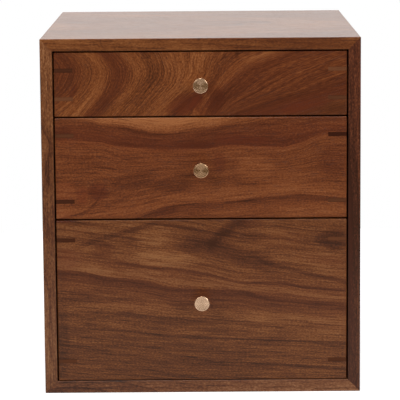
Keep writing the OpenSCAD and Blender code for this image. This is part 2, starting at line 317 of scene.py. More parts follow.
caseWoods = {
    "case_top": plankWalnut(
        "caseTopWalnut", "flat", 3, tone=0.6, heart=-20, curl=0.2, strength=0.75,
        edge=[(-130, 0.14), (-60, -0.07), (0, 0.02), (80, -0.02), (130, 0.22)]),
    "case_bottom": plankWalnut(
        "caseBottomWalnut", "flat", 9, tone=0.6, tint=(0.96, 1.14, 1.72), drift=0.15,
        edge=[(-130, 0.04), (-75, -0.06), (0, 0), (130, -0.08)]),
    "case_left_side": plankWalnut(
        "caseLeftWalnut", "side", 5, tone=0.6, tint=(0.97, 1.24, 1.85),
        tintAbove=(0.98, 1.08, 1.36), heart=30,
        edge=[(0, -0.12), (60, 0.18), (120, 0), (230, 0.04), (290, 0.26)]),
    "case_right_side": plankWalnut(
        "caseRightWalnut", "side", 7, tone=0.32, tint=(0.87, 0.98, 1.4),
        tintAbove=(0.9, 0.84, 1.2), heart=-30, lean=0.2, leanFrom=125,
        edge=[(0, -0.04), (70, -0.06), (140, -0.18), (220, -0.04), (290, 0.04)]),
    "back_panel": plankWalnut("backWalnut", "z", 17, tone=0.52, heart=15),
}
boxWoods = {
    "left_side": plankWalnut("drawerLeftWalnut", "y", 13, tone=0.5),
    "right_side": plankWalnut("drawerRightWalnut", "y", 21, tone=0.48),
    "back": plankWalnut("drawerBackWalnut", "x", 15, tone=0.5),
}

# The figure of each front. Its lines run along x, or along z where they are upright, and are points
# of (run, height) over the other axis. A line with a far is a contour, that far across the figure.
# An edge tells how much lighter or darker the wood is at each distance over its line, and share how
# strongly. Tones and reds go by the distance across the figure, rings is how strongly thin dark
# lines show, and waver how the figure strays. A patch is (x, z, half width, half height, tone, red,
# turn), in millimetres and degrees.
topFigure = {
    "seed": 11,
    "upright": True,
    "waver": {"waves": (0.04, 0.04, 0.05), "shift": (1, 0, 0), "far": 4.0},
    "rings": 0.08,
    "tint": (1.06, 0.98, 0.94),
    "strength": 1.0,
    "lines": [
        {"far": 0,
         "at": [(230, -135), (238, -123), (244, -115), (252, -106), (260, -102), (269, -100),
                (273, -102), (278, -106), (283, -113)]},
        {"far": 20,
         "at": [(230, -103), (242, -93), (250, -87), (258, -83), (267, -81), (273, -84), (278, -88),
                (283, -94)]},
        {"far": 34,
         "at": [(230, -89), (242, -79), (250, -72), (258, -69), (267, -68), (273, -70), (278, -74),
                (283, -79)]},
        {"far": 50,
         "at": [(230, -78), (238, -70), (246, -61), (254, -54), (260, -51), (267, -50), (273, -53),
                (283, -61)]},
        {"far": 62,
         "at": [(230, -64), (238, -57), (248, -48), (256, -42), (262, -38), (271, -38),
                (283, -42)]},
        {"far": 74,
         "at": [(230, -50), (242, -39), (250, -32), (258, -26), (267, -24), (275, -27),
                (283, -31)]},
        {"far": 102,
         "at": [(230, -27), (238, -17), (246, -6), (254, 4), (262, 10), (271, 13), (279, 18),
                (283, 21)]},
        {"far": 111,
         "at": [(230, -2), (238, 1), (246, 6), (254, 12), (262, 19), (267, 26), (273, 35),
                (279, 50), (283, 63)]},
        {"far": 122,
         "at": [(230, 9), (238, 12), (246, 17), (252, 22), (258, 29), (267, 40), (273, 53),
                (279, 69), (283, 84)]},
        {"far": 147,
         "at": [(230, 20), (236, 36), (241, 50), (250, 81), (260, 106), (264, 118), (273, 146),
                (283, 176)]},
        {"far": 157,
         "at": [(230, 40), (242, 81), (252, 118), (260, 146), (283, 220)]},
    ],
    "tones": [(-20, 0.4), (-4, 0.34), (-1.5, 0.36), (0, 0.6), (1.5, 0.42), (4, 0.46), (6, 0.55),
              (12, 0.5), (16, 0.62), (20, 0.76), (25, 0.72), (29, 0.46), (33, 0.33), (38, 0.37),
              (42, 0.44), (46, 0.58), (50, 0.64), (55, 0.56), (59, 0.42), (64, 0.44), (68, 0.54),
              (75, 0.6), (82, 0.66), (90, 0.74), (97, 0.66), (100, 0.52), (103, 0.4), (106, 0.46),
              (108.5, 0.64), (112, 0.74), (115, 0.62), (119, 0.38), (124, 0.31), (130, 0.42),
              (138, 0.45), (143, 0.31), (146, 0.5), (149, 0.25), (154, 0.32), (160, 0.2),
              (168, 0.34), (172, 0.26), (180, 0.4), (190, 0.38)],
    "reds": [(-20, 0.35), (0, 0.25), (20, 0.05), (36, 0.3), (50, 0), (70, 0), (100, 0.1),
             (122, 0.3), (145, 0.25), (160, 0.45), (190, 0.1)],
    "patches": [
        (-111, 236, 10, 8, 0.08, 0, 0), (-76, 237, 9, 6, -0.1, 0, 30),
        # the dark patches at (-13, 240), (12, 243) and (-1, 238), just under the knob, are painted
        # shadow of the knob
        (-103, 251, 3, 7, -0.18, 0.2, -20), (-13, 240, 16, 9, -0.22, 0.45, 20),
        (12, 243, 8, 12, -0.24, 0.2, 0), (84, 236, 20, 6, -0.12, 0.3, 8),
        (70, 274, 28, 7, 0.08, 0, 8), (112, 270, 8, 9, 0.14, 0, 0), (-36, 276, 6, 5, 0.08, 0, 0),
        (-62, 235, 10, 5, 0.1, 0, 20), (30, 250, 9, 6, -0.06, 0, 20),
        (-1, 238, 8, 8, -0.18, 0.2, 0), (50, 277, 14, 4, 0.1, 0, 10),
        (108, 236, 14, 5, -0.08, 0, 0),
    ],
}
middleFigure = {
    "seed": 6,
    "upright": False,
    "waver": {"waves": (0.04, 0.12, 0.05), "shift": (1, 0, 0), "far": 1.4},
    "rings": 0.08,
    "tint": (1.08, 0.99, 1.05),
    "strength": 0.85,
    "lines": [
        {"far": 155,
         "at": [(-120, 138), (-66, 145), (-54, 148), (-42, 152), (-25, 156), (-9, 158), (16, 159),
                (40, 161), (64, 164), (89, 164), (120, 161)],
         "edge": [(-16, 0), (-9, 0.02), (-4, -0.09), (-0.6, -0.17), (0.6, 0.08), (3.5, 0.15),
                  (8, 0.09), (14, 0)],
         "share": [(-120, 0), (-66, 0.1), (-50, 0.7), (-30, 1), (120, 1)]},
        {"far": 205,
         "at": [(-120, 212), (-85, 210), (-73, 207), (-61, 205), (-41, 203.5), (3, 203), (17, 205),
                (29, 206), (49, 204.5), (64, 204), (74, 206), (84, 208.5), (90, 211.5), (96, 213.5),
                (104, 215), (120, 216)],
         "edge": [(-14, 0), (-5, 0.02), (-0.8, 0.07), (0.1, -0.26), (1.8, -0.34), (4, -0.24),
                  (8, -0.15), (13, -0.14), (18, -0.08), (24, 0)],
         "share": [(-120, 0.5), (-100, 0.6), (-80, 0.8), (-50, 1), (88, 0.9), (98, 0.5),
                   (120, 0.3)]},
        {"far": 219,
         "at": [(-120, 225.5), (-94, 225), (-82, 222.5), (-66, 221), (-50, 218), (-30, 215.5),
                (-13, 217), (0, 219), (20, 221.5), (40, 224), (56, 227), (120, 228.5)],
         "edge": [(-6, 0), (-3, -0.03), (-0.8, -0.06), (0.2, 0.1), (2, 0.24), (5, 0.4), (9, 0.46),
                  (14, 0.46)],
         "share": [(-120, 0.05), (-106, 0.3), (-95, 0.75), (-84, 1), (4, 1), (20, 0.75), (35, 0.35),
                   (50, 0.15), (120, 0.1)]},
        {"at": [(-120, 146), (-112, 147.5), (-98, 151), (-90, 156), (-84, 163), (-80, 171),
                (-76, 176), (120, 180)],
         "edge": [(-14, 0.04), (-3, 0.02), (-0.7, -0.24), (0.6, 0.06), (6, 0.04), (14, 0)],
         "share": [(-120, 1), (-84, 1), (-74, 0), (120, 0)]},
        {"at": [(-120, 210), (-83, 209), (-60, 201), (-20, 196), (120, 190)],
         "edge": [(-12, 0), (-7.6, 0.02), (-7, -0.12), (-6.3, 0.02), (-1.6, 0), (-0.8, 0.1),
                  (0, 0)],
         "share": [(-120, 0.8), (-70, 1), (-50, 0.5), (-20, 0), (120, 0)]},
    ],
    "tones": [(140, 0.55), (150, 0.52), (160, 0.56), (168, 0.53), (176, 0.49), (186, 0.52),
              (196, 0.53), (204, 0.55), (215, 0.54), (235, 0.54)],
    "reds": [(140, 0.1), (200, 0.15), (206, 0.35), (214, 0.3), (220, 0.1), (230, 0)],
    "patches": [
        (44, 187, 17, 12, 0.17, 0, 0), (72, 182, 24, 12, 0.07, 0, 0),
        (108, 192, 12, 15, -0.11, 0.1, 0), (90, 152, 36, 6, 0.13, 0, 2),
        (-57, 175, 20, 6, -0.2, 0, 10), (-25, 173, 20, 6, -0.14, 0, -4),
        (-111, 168, 9, 9, 0.2, 0.3, 0), (-97, 165, 5, 9, 0.08, 0.4, 0),
        (-84, 168, 9, 8, -0.2, 0.3, 0), (-113, 217, 9, 6, -0.18, 0, 0),
        (-113, 150, 8, 4, 0.16, 0.3, 0), (34, 209, 24, 4, -0.1, 0.2, 0),
        (-2, 205.5, 16, 3, -0.12, 0.1, 0), (15, 191, 6, 9, -0.14, 0.2, 0),
        (-30, 151, 12, 5, -0.14, 0.1, 20), (-60, 152, 20, 4, 0.08, 0.1, 6),
        (24, 213, 14, 4, -0.1, 0.1, 0),
    ],
}
bottomFigure = {
    "seed": 19,
    "upright": False,
    "waver": {"waves": (0.04, 0.12, 0.05), "shift": (1, 0, 0), "far": 1.4},
    "rings": 0.3,
    "tint": (0.96, 1.04, 1.18),
    "strength": 1.0,
    "lines": [
        {"far": 47,
         "at": [(-120, 57), (-99, 54.5), (-60, 51), (-19, 47), (20, 45), (56, 43.5), (120, 40)],
         "edge": [(-6, -0.02), (-1.3, -0.03), (-0.4, -0.22), (0.4, -0.2), (1.4, 0.04), (6, 0.04)],
         "share": [(-120, 0.2), (-60, 0.8), (-20, 1), (120, 0.9)]},
        {"far": 60,
         "at": [(-120, 69), (-66, 66.5), (-26, 62), (16, 58.5), (64, 55.5), (120, 52)],
         "edge": [(-8, 0), (-3, -0.1), (0.4, -0.18), (1.2, 0.04), (6, 0.08), (10, 0.05), (14, 0)],
         "share": [(-120, 0.5), (-90, 0.7), (-50, 1), (0, 0.9), (16, 0.2), (120, 0.1)]},
        {"far": 86,
         "at": [(-120, 102.5), (-103, 101), (-93, 99.5), (-81, 97), (-68, 95.5), (-58, 94.5),
                (-42, 92), (-20, 86.5), (4, 85.5), (28, 84.5), (53, 80), (78, 77), (120, 73)],
         "edge": [(-16, 0), (-10, -0.05), (-6, -0.1), (-3.5, -0.24), (-1.2, -0.32), (0.4, -0.24),
                  (1.6, 0.2), (4, 0.28), (7, 0.18), (12, 0)],
         "share": [(-120, 1), (-60, 1), (0, 0.9), (60, 0.8), (120, 0.7)]},
        {"far": 98,
         "at": [(-120, 115), (-68, 108), (-48, 105.5), (-20, 102.5), (4, 98.5), (16, 95.5),
                (38, 91.5), (64, 90.5), (86, 87.5), (120, 84.5)],
         "edge": [(-5, 0), (-1.6, 0.04), (-0.6, -0.3), (0.5, -0.28), (1.8, 0.04), (5, 0)],
         "share": [(-120, 0), (-75, 0.2), (-55, 0.9), (20, 0.9), (50, 1), (120, 0.9)]},
        {"at": [(-120, 122), (40, 112), (54, 107), (66, 104), (81, 100), (97, 96), (120, 91)],
         "edge": [(-5, 0.02), (-1.8, 0.04), (-0.8, -0.24), (1.2, -0.26), (3, 0.06), (7, 0.08),
                  (12, 0)],
         "share": [(-120, 0), (38, 0), (52, 0.9), (120, 1)]},
        {"at": [(-120, 118), (-100, 122), (-88, 127), (-66, 133), (-50, 138), (-34, 143),
                (120, 190)],
         "edge": [(-7, 0), (-2.5, 0), (-1.4, -0.22), (1.4, -0.2), (2.6, 0.06), (6, 0.12),
                  (10, 0.07)],
         "share": [(-120, 0.2), (-95, 0.5), (-70, 1), (-40, 0.9), (-28, 0), (120, 0)]},
        {"at": [(-120, 120), (0, 120), (8, 124), (12, 128), (17, 132), (25, 138), (34, 145),
                (120, 200)],
         "edge": [(-10, 0), (-6, -0.14), (-1, -0.4), (3, -0.32), (8, 0)],
         "share": [(-120, 0), (-2, 0), (6, 0.7), (12, 1), (30, 0.9), (40, 0.3), (48, 0), (120, 0)]},
        {"at": [(-120, 124), (0, 124), (12, 120), (24, 115), (36, 111), (48, 109), (60, 105),
                (72, 102), (120, 94)],
         "edge": [(-9, 0), (-6, -0.18), (-1, -0.3), (5, -0.24), (10, 0)],
         "share": [(-120, 0), (-24, 0), (-10, 0.4), (2, 0.8), (46, 1), (58, 0.5), (70, 0),
                   (120, 0)]},
    ],
    "tones": [(10, 0.46), (30, 0.48), (42, 0.49), (52, 0.51), (64, 0.54), (74, 0.53), (84, 0.54),
              (96, 0.55), (105, 0.57), (120, 0.54), (145, 0.54)],
    "reds": [(10, 0), (60, 0.05), (90, 0.3), (110, 0.15), (145, 0.15)],
    "patches": [
        (-30, 112, 30, 7, 0.32, 0, -3), (-40, 130, 16, 9, 0.24, 0, 12),
        (-10, 122, 14, 6, -0.14, 0, -4), (107, 127, 14, 8, -0.42, 0, -8),
        (-80, 119, 10, 7, -0.15, 0.1, 0), (-110, 112, 12, 10, 0.18, 0.3, 0),
        (-101, 136, 22, 4, 0.16, 0.1, 8), (-113, 144, 9, 1.8, -0.36, 0.5, 0),
        (100, 110, 26, 6, 0.17, 0.2, -8), (-86, 104, 18, 4, 0.12, 0, -6),
        (108, 57, 20, 9, 0.18, 0.1, -4), (58, 62, 48, 7, 0.13, 0, -3),
        (-115, 45, 6, 34, -0.16, 0, 0), (-55, 73, 32, 4, 0.08, 0.1, -6),
        (66, 129, 18, 8, 0.08, 0.1, 0), (92, 30, 36, 20, 0.06, 0, 0),
        (40, 141, 14, 3, -0.22, 0.1, 0), (112, 136, 8, 6, -0.14, 0, 0),
    ],
}

figureLook = {
    "face": -154,  # y of the fronts, behind which the figure slants
    "slant": 0.1,
    "cloud": {"waves": (0.008, 0.07, 0.02), "shift": (0, 1, 0), "rough": 0.6, "tone": 0.16},
    "rings": {"waves": (0.006, 0.3, 0.05), "shift": (1, 0, 0), "rough": 0.7, "shown": (0.52, 0.7)},
    "patch": {"waves": (0.05, 0.55, 0.3), "shift": (3, 0, 0), "rough": 0.65,
              "ragged": 2, "edge": (1.4, 0.1)},
}


def figuredFront(name, plan):
    look, seed = figureLook, plan["seed"]
    g = Material(name)
    x, y, z = g.place()
    run, passed = (z, x) if plan["upright"] else (x, z)
    waver = g.noise(plan["waver"], (x, z, y), seed) - 0.5
    passed = passed + waver * plan["waver"]["far"] + (y - look["face"]) * look["slant"]
    heights = [run.drawn(line["at"]) for line in plan["lines"]]
    contours = [(height, line["far"]) for height, line in zip(heights, plan["lines"])
                if "far" in line]
    before = (passed - contours[0][0]).math("MINIMUM", 0)
    behind = (passed - contours[-1][0]).math("MAXIMUM", 0)
    across = before + behind + contours[0][1]
    for (height, far), (nextHeight, nextFar) in zip(contours, contours[1:]):
        across = across + passed.share(height, nextHeight) * (nextFar - far)
    place = (run, across, y)
    cloud = g.noise(look["cloud"], place, seed) - 0.5
    rings = g.noise(look["rings"], place, seed)
    ragged = (g.noise(look["patch"], place, seed) - 0.5) * look["patch"]["ragged"]
    tone = across.drawn(plan["tones"], bent=False) + cloud * look["cloud"]["tone"]
    tone = tone - rings * plan["rings"]
    red = across.drawn(plan["reds"])
    for line, height in zip(plan["lines"], heights):
        if "edge" in line:
            edge = (passed - height).drawn(line["edge"], bent=False)
            tone = tone + edge * run.drawn(line["share"])
    for cx, cz, wide, high, lighter, redder, turn in plan["patches"]:
        cos, sin = math.cos(math.radians(turn)), math.sin(math.radians(turn))
        sideways, upward = x - cx, z - cz
        across2 = (sideways * (cos / wide) + upward * (sin / wide)) ** 2
        up2 = (sideways * (-sin / high) + upward * (cos / high)) ** 2
        spot = (across2 + up2 - ragged).ease(*look["patch"]["edge"])
        tone = tone + spot * lighter
        if redder:
            red = red + spot * redder
    return walnut(g, tone, red, place, seed, (*plan["tint"], 1), plan["strength"])


frontWoods = {
    "top": figuredFront("topFrontWalnut", topFigure),
    "middle": figuredFront("middleFrontWalnut", middleFigure),
    "bottom": figuredFront("bottomFrontWalnut", bottomFigure),
}
print("walnut made:", len(caseWoods) + len(boxWoods) + len(frontWoods))

keyLook = {
    "plain": srgb(60, 27, 14),
    "light": srgb(132, 82, 52),
    "glue": srgb(42, 18, 9),
    "glueShown": (0.384, 0.95),
    "fibre": {"waves": (0.1, 1.8, 0.1), "rough": 0.6, "shade": 0.5, "matt": 0.1},
    "rough": 0.4,
    "relief": 0.03,
    "index": 1.15,
}


def keyWood():
    look = keyLook
    g = Material("darkWalnutKeys")
    x, y, z = g.place()
    edge = g.attribute("keyEdge")
    shade = g.attribute("keyShade")
    fibre = g.noise(look["fibre"], (x, z, y))
    light = g.mix(shade, look["plain"], look["light"])
    streaked = g.mix(fibre * look["fibre"]["shade"], light, look["glue"])
    glued = (edge * edge).ease(*look["glueShown"])
    colour = g.mix(glued * (1 - shade).math("MAXIMUM", 0), streaked, look["glue"])
    rough = look["rough"] + fibre * look["fibre"]["matt"]
    return g.finish(colour, rough, fibre, look["relief"], IOR=look["index"])


mapleLook = {
    "pale": srgb(216, 184, 140),
    "dark": srgb(186, 148, 103),
    "cloud": {"waves": (0.01, 0.06, 0), "shift": (0, 0, 4)},
    "streak": {"waves": (0.04, 1.1, 1.1), "shift": (4, 0, 0), "detail": 4.0, "rough": 0.6,
               "matt": 0.1, "relief": 0.5},
    "fleck": {"waves": (0.3, 2.8, 2.8), "shift": (0, 0, 4), "detail": 2.0, "shown": (0.62, 0.75),
              "shade": 0.3, "relief": -0.5},
    "paleShown": (0.25, 0.8),
    "rough": 0.45,
    "relief": 0.03,
    "index": 1.4,
}


def maple():
    look = mapleLook
    g = Material("maple")
    cloud, streak, fleck = [g.noise(look[name], alongGrain(g, "y"))
                            for name in ("cloud", "streak", "fleck")]
    base = g.mix((streak + (cloud - 0.5)).ease(*look["paleShown"]), look["dark"], look["pale"])
    colour = g.mix(fleck * look["fleck"]["shade"], base, look["dark"])
    rough = look["rough"] + streak * look["streak"]["matt"]
    relief = streak * look["streak"]["relief"] + fleck * look["fleck"]["relief"]
    return g.finish(colour, rough, relief, look["relief"], IOR=look["index"])


plyLook = {
    "pale": srgb(222, 196, 158),
    "dark": srgb(192, 158, 116),
    "sway": {"waves": (0.012, 0.01, 0), "shift": (0, 0, 2), "detail": 2.0, "wide": 22},
    "vein": {"waves": (0.004, 0.12, 0), "shift": (0, 0, 3), "detail": 4.0, "rough": 0.6},
    "streak": {"waves": (0.04, 1.1, 1), "rough": 0.6, "matt": 0.1},
    "paleShown": (0.25, 0.75),
    "plies": 0.7,
    "plyShown": (0.45, 0.55),
    "paleEdge": srgb(196, 162, 118),
    "darkEdge": srgb(146, 108, 70),
    "rough": 0.5,
    "relief": 0.02,
    "index": 1.4,
}


def plyWood():
    # its plies show on its edges: bands through the panel's thickness
    look = plyLook
    g = Material("birchPly")
    x, y, z = g.place()
    upward = g.node("SeparateXYZ", [g.node("TexCoord")["Normal"]])["Z"] ** 2
    sway = g.noise(look["sway"], (x, y, 0)) * look["sway"]["wide"]
    vein = g.noise(look["vein"], (x, y + sway, 0))
    streak = g.noise(look["streak"], (x, y, z))
    face = g.mix(((vein + streak) * 0.5).ease(*look["paleShown"]), look["dark"], look["pale"])
    ply = (z * look["plies"]).math("FRACT").ease(*look["plyShown"])
    colour = g.mix(upward, g.mix(ply, look["paleEdge"], look["darkEdge"]), face)
    rough = look["rough"] + streak * look["streak"]["matt"]
    return g.finish(colour, rough, streak, look["relief"], IOR=look["index"])


brassLook = {
    "face": (0.65, 0.43, 0.285, 1),
    # the darker brass colour, reached both by each knob's painted shade and by random tarnish
    "shadedAndWorn": (0.5, 0.3, 0.17, 1),
    "cloud": {"waves": (0.25, 0.25, 0.25), "uneven": 0.6, "matt": 0.08},
    "wobble": {"waves": (2.2, 0.6, 0), "shift": (0, 0, 1), "detail": 2.0},
    "pitch": 0.5,
    "ridge": 0.042,
    "rough": 0.2,
}


def turnedBrass():
    # the lathe left rings round the axis
    look = brassLook
    g = Material("turnedBrass")
    place = g.place()
    radius = g.attribute("turnRadius") * (1 / mm)
    ring = (radius * (2 * math.pi / look["pitch"])).math("SINE") * 0.5 + 0.5
    wobble = g.noise(look["wobble"], (radius, place[1], 0))
    cloud = g.noise(look["cloud"], place)
    # painted shade: each knob's listed value darkens its whole face to stand for a dimmer
    # reflection; the cloud adds random uneven tarnish on top
    tarnish = g.attribute("tarnish") + (cloud - 0.5) * look["cloud"]["uneven"]
    colour = g.mix(tarnish.ease(0.0, 1.0), look["face"], look["shadedAndWorn"])
    rough = look["rough"] + cloud * look["cloud"]["matt"]
    return g.finish(colour, rough, ring + wobble, look["ridge"], Metallic=1.0)


steelLook = {
    "dark": srgb(176, 178, 180),
    "pale": srgb(206, 207, 206),
    "cloud": {"waves": (0.5, 0.5, 0.5), "matt": 0.14},
    "paleShown": (0.3, 0.7),
    "rough": 0.26,
    "relief": 0.01,
}


def zincSteel():
    look = steelLook
    g = Material("zincSteel")
    cloud = g.noise(look["cloud"], g.place())
    colour = g.mix(cloud.ease(*look["paleShown"]), look["dark"], look["pale"])
    rough = look["rough"] + cloud * look["cloud"]["matt"]
    return g.finish(colour, rough, cloud, look["relief"], Metallic=1.0)


finishes = {
    "key_wood": keyWood(),
    "maple": maple(),
    "birch_panel": plyWood(),
    "turned_brass": turnedBrass(),
    "steel": zincSteel(),
}
print("finishes made:", len(finishes))


def paint(piece, material):
    piece.data.materials.clear()
    piece.data.materials.append(material)


def dress(piece, node, material=None):
    # puts the piece in the place of a plain node
    if material is not None:
        paint(piece, material)
    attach(piece, bodyOf[node])
    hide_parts(node)


meshCare = {"join": 0.002, "sliver": 0.0005}


def opened(node):
    # a copy of a plain node's mesh to work on, with its corners joined and its thin slivers gone
    work = bmesh.new()
    work.from_mesh(frame["nodes"][node].data)
    bmesh.ops.remove_doubles(work, verts=work.verts, dist=meshCare["join"] * mm)
    bmesh.ops.dissolve_degenerate(work, edges=work.edges, dist=meshCare["sliver"] * mm)
    return work


def linked(name, mesh):
    piece = bpy.data.objects.new(name, mesh)
    bpy.context.scene.collection.objects.link(piece)
    return piece


def closed(work, node, name):
    # the worked mesh as a new piece
    mesh = frame["nodes"][node].data.copy()
    work.to_mesh(mesh)
    work.free()
    return linked(name, mesh)


def settled(piece):
    # its modifiers' result becomes its mesh
    seen = piece.evaluated_get(bpy.context.evaluated_depsgraph_get())
    mesh = bpy.data.meshes.new_from_object(seen)
    piece.modifiers.clear()
    piece.data = mesh


# in millimetres and degrees; points that lie nearer than same count as one
softening = {
    "width": 0.22,
    "segments": 2,
    "flat": 1,
    "crease": 20,
    "smooth": 32,
    "same": 0.05,
    "skew": 0.02,
}


def rounded(point):
    return tuple(round(c / (softening["same"] * mm)) for c in point)


def isMitre(face, middle):
    # a mitre's face looks across its corner, and an eased corner looks out of it
    n = face.normal
    c = face.calc_center_median() - middle
    skew = softening["skew"]
    upright = abs(abs(n.x) - abs(n.z)) < skew and abs(n.y) < skew and n.x * n.z * c.x * c.z < 0
    level = abs(abs(n.x) - abs(n.y)) < skew and abs(n.z) < skew and n.x * n.y * c.x * c.y < 0
    return upright or level


def softened(node, middle, keyed=()):
    # a copy of a board whose outer edges are rounded over, for the light to catch
    work = opened(node)
    bmesh.ops.dissolve_limit(work, angle_limit=math.radians(softening["flat"]),
                             verts=work.verts, edges=work.edges)
    work.normal_update()
    weights = work.edges.layers.float.new("bevel_weight_edge")
    for edge in work.edges:
        if len(edge.link_faces) != 2:
            continue
        angle = math.degrees(edge.calc_face_angle(0))
        joined = any(isMitre(face, middle) for face in edge.link_faces)
        joined = joined or all(rounded(vert.co) in keyed for vert in edge.verts)
        if angle > softening["crease"] and edge.is_convex and not joined:
            edge[weights] = 1.0
        edge.smooth = angle < softening["smooth"]
    for face in work.faces:
        face.smooth = True
    piece = closed(work, node, node + "_planed")
    bevel = piece.modifiers.new("round", "BEVEL")
    bevel.limit_method = "WEIGHT"
    bevel.width = softening["width"] * mm
    bevel.segments = softening["segments"]
    bevel.harden_normals = True
    bevel.use_clamp_overlap = True
    settled(piece)
    return piece


caseMiddle = Vector((0, 0, (cadBox[0][2] + cadBox[1][2]) / 2))
for node, wood in caseWoods.items():
    dress(softened(node, caseMiddle), node, wood)
for drawer in drawers:
    box = drawer + "_drawer_"
    low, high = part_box(box + "front")
    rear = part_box(box + "back")[1]
    middle = Vector((0, (low.y + rear.y) / 2, (low.z + high.z) / 2))
    keyed = {rounded(vert.co) for vert in frame["nodes"][box + "corner_keys"].data.vertices}
    dress(softened(box + "front", middle, keyed), box + "front", frontWoods[drawer])
    for board, wood in boxWoods.items():
        dress(softened(box + board, middle, keyed), box + board, wood)
print("boards planed:", len(caseWoods) + len(drawers) * (1 + len(boxWoods)))

for node in frame["nodes"]:
    if slotOf[node] in ("maple", "birch_panel"):
        paint(frame["nodes"][node], finishes[slotOf[node]])

# how much lighter than the darkest each key is: left upper, right upper, left lower, right lower
keyShades = {
    "top": (0.2, 0.75, 0.7, 0.45),
    "middle": (0.45, 0.0, 0.12, 0.45),
    "bottom": (0.15, 0.6, 0.42, 0.3),
}


def islands(work):
    # the separate solids of a mesh, each as its points
    seen = set()
    for start in work.verts:
        if start in seen:
            continue
        grown, waiting = [], [start]
        seen.add(start)
        while waiting:
            vert = waiting.pop()
            grown.append(vert)
            near = [edge.other_vert(vert) for edge in vert.link_edges]
            waiting += [other for other in near if other not in seen]
            seen.update(near)
        yield grown


for drawer in drawers:
    node = drawer + "_drawer_corner_keys"
    low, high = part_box(drawer + "_drawer_front")
    work = opened(node)
    edgeLayer = work.verts.layers.float.new("keyEdge")
    shadeLayer = work.verts.layers.float.new("keyShade")
    for island in islands(work):
        heights = [vert.co.z for vert in island]
        middle, half = (max(heights) + min(heights)) / 2, (max(heights) - min(heights)) / 2
        onRight = sum(vert.co.x for vert in island) > 0
        isLower = middle < (low.z + high.z) / 2
        shade = keyShades[drawer][onRight + 2 * isLower]
        for vert in island:
            vert[edgeLayer] = (vert.co.z - middle) / half
            vert[shadeLayer] = shade
    dress(closed(work, node, node + "_shaded"), node, finishes["key_wood"])
print("keys shaded")


def nodeGroup(name, sockets):
    # a modifier's nodes, and their inputs by name
    tree = bpy.data.node_groups.new(name, "GeometryNodeTree")
    for title, kind in {"Geometry": "Geometry", **sockets}.items():
        tree.interface.new_socket(title, in_out="INPUT", socket_type="NodeSocket" + kind)
    tree.interface.new_socket("Geometry", in_out="OUTPUT", socket_type="NodeSocketGeometry")
    g = Graph(tree)
    return g, g.node("NodeGroupInput")


def closeGroup(g, shape, material):
    whole = g.shape("RealizeInstances", [shape])
    finished = g.shape("SetMaterial", {"Geometry": whole, "Material": material})
    g.node("NodeGroupOutput", [finished])


def creased(piece, angle):
    piece.data.shade_smooth()
    piece.data.set_sharp_from_angle(angle=math.radians(angle))


def built(name, mesh, group, values, crease):
    # runs the modifier once, with its inputs set by name, and keeps the mesh
    piece = linked(name, mesh)
    modifier = piece.modifiers.new("build", "NODES")
    modifier.node_group = group
    for item in group.interface.items_tree:
        if item.in_out == "INPUT" and item.name in values:
            modifier[item.identifier] = values[item.name]
    settled(piece)
    creased(piece, crease)
    return piece


# sections are turned round a circle that is wide enough to keep them on one side of the axis
lathe = {"circle": 0.01, "weld": 0.001}


def meshOf(name, points, edges=(), faces=()):
    mesh = bpy.data.meshes.new(name)
    mesh.from_pydata(points, edges, faces)
    return mesh


def profileMesh(name, points):
    # a section through a turned piece: radius and depth, in millimetres, from the axis to the axis
    places = [(radius * mm - lathe["circle"], depth * mm, 0) for radius, depth in points]
    return meshOf(name, places, [(i, i + 1) for i in range(len(points) - 1)])


def welded(g, shape):
    return g.shape("MergeByDistance", {"Geometry": shape, "Distance": lathe["weld"] * mm})


def turned(g, profile, sides):
    # turns a section round the axis; its depth runs along -Z
    circle = g.shape("CurvePrimitiveCircle", {"Resolution": sides, "Radius": lathe["circle"]})
    section = g.shape("MeshToCurve", {"Mesh": profile})
    body = welded(g, g.shape("CurveToMesh", {"Curve": circle, "Profile Curve": section}))
    point = g.shape("InputPosition")
    flat = g.node("VectorMath", [point, (1, 1, 0)], operation="MULTIPLY")["Vector"]
    radius = g.node("VectorMath", [flat], operation="LENGTH")["Value"]
    return g.shape("StoreNamedAttribute", {"Geometry": body, "Name": "turnRadius", "Value": radius},
                   data_type="FLOAT", domain="POINT")


def turnedGroup():
    g, given = nodeGroup("turnedPiece", {"Sides": "Int", "Place": "Vector", "Turn": "Rotation",
                                         "Material": "Material"})
    body = turned(g, given["Geometry"], given["Sides"])
    placed = g.shape("Transform", {"Geometry": body, "Translation": given["Place"],
                                   "Rotation": given["Turn"]})
    closeGroup(g, placed, given["Material"])
    return g.tree


def arc(radius, depth, size, start, end, steps=6):
    # part of a circle round (radius, depth), in degrees
    angles = [math.radians(start + (end - start) * i / steps) for i in range(steps + 1)]
    return [(radius + size * math.cos(a), depth + size * math.sin(a)) for a in angles]


knobSizes = {
    "length": 16,
    "head": 6.1,
    "headDeep": 3,
    "headRound": 0.5,
    "rim": 0.9,
    "dish": 0.1,
    "waist": 2.7,
    "waistAt": 4.6,
    "flare": 4.7,
    "base": 3.4,
    "baseDeep": 1,
    "baseRound": 0.33,
    "backFlat": 0.2,
    "near": 0.1,
    "lip": (0.06, 0.02),
    "neckSteps": 24,
    "dishSteps": 12,
    "sides": 96,
    "crease": 40,
}


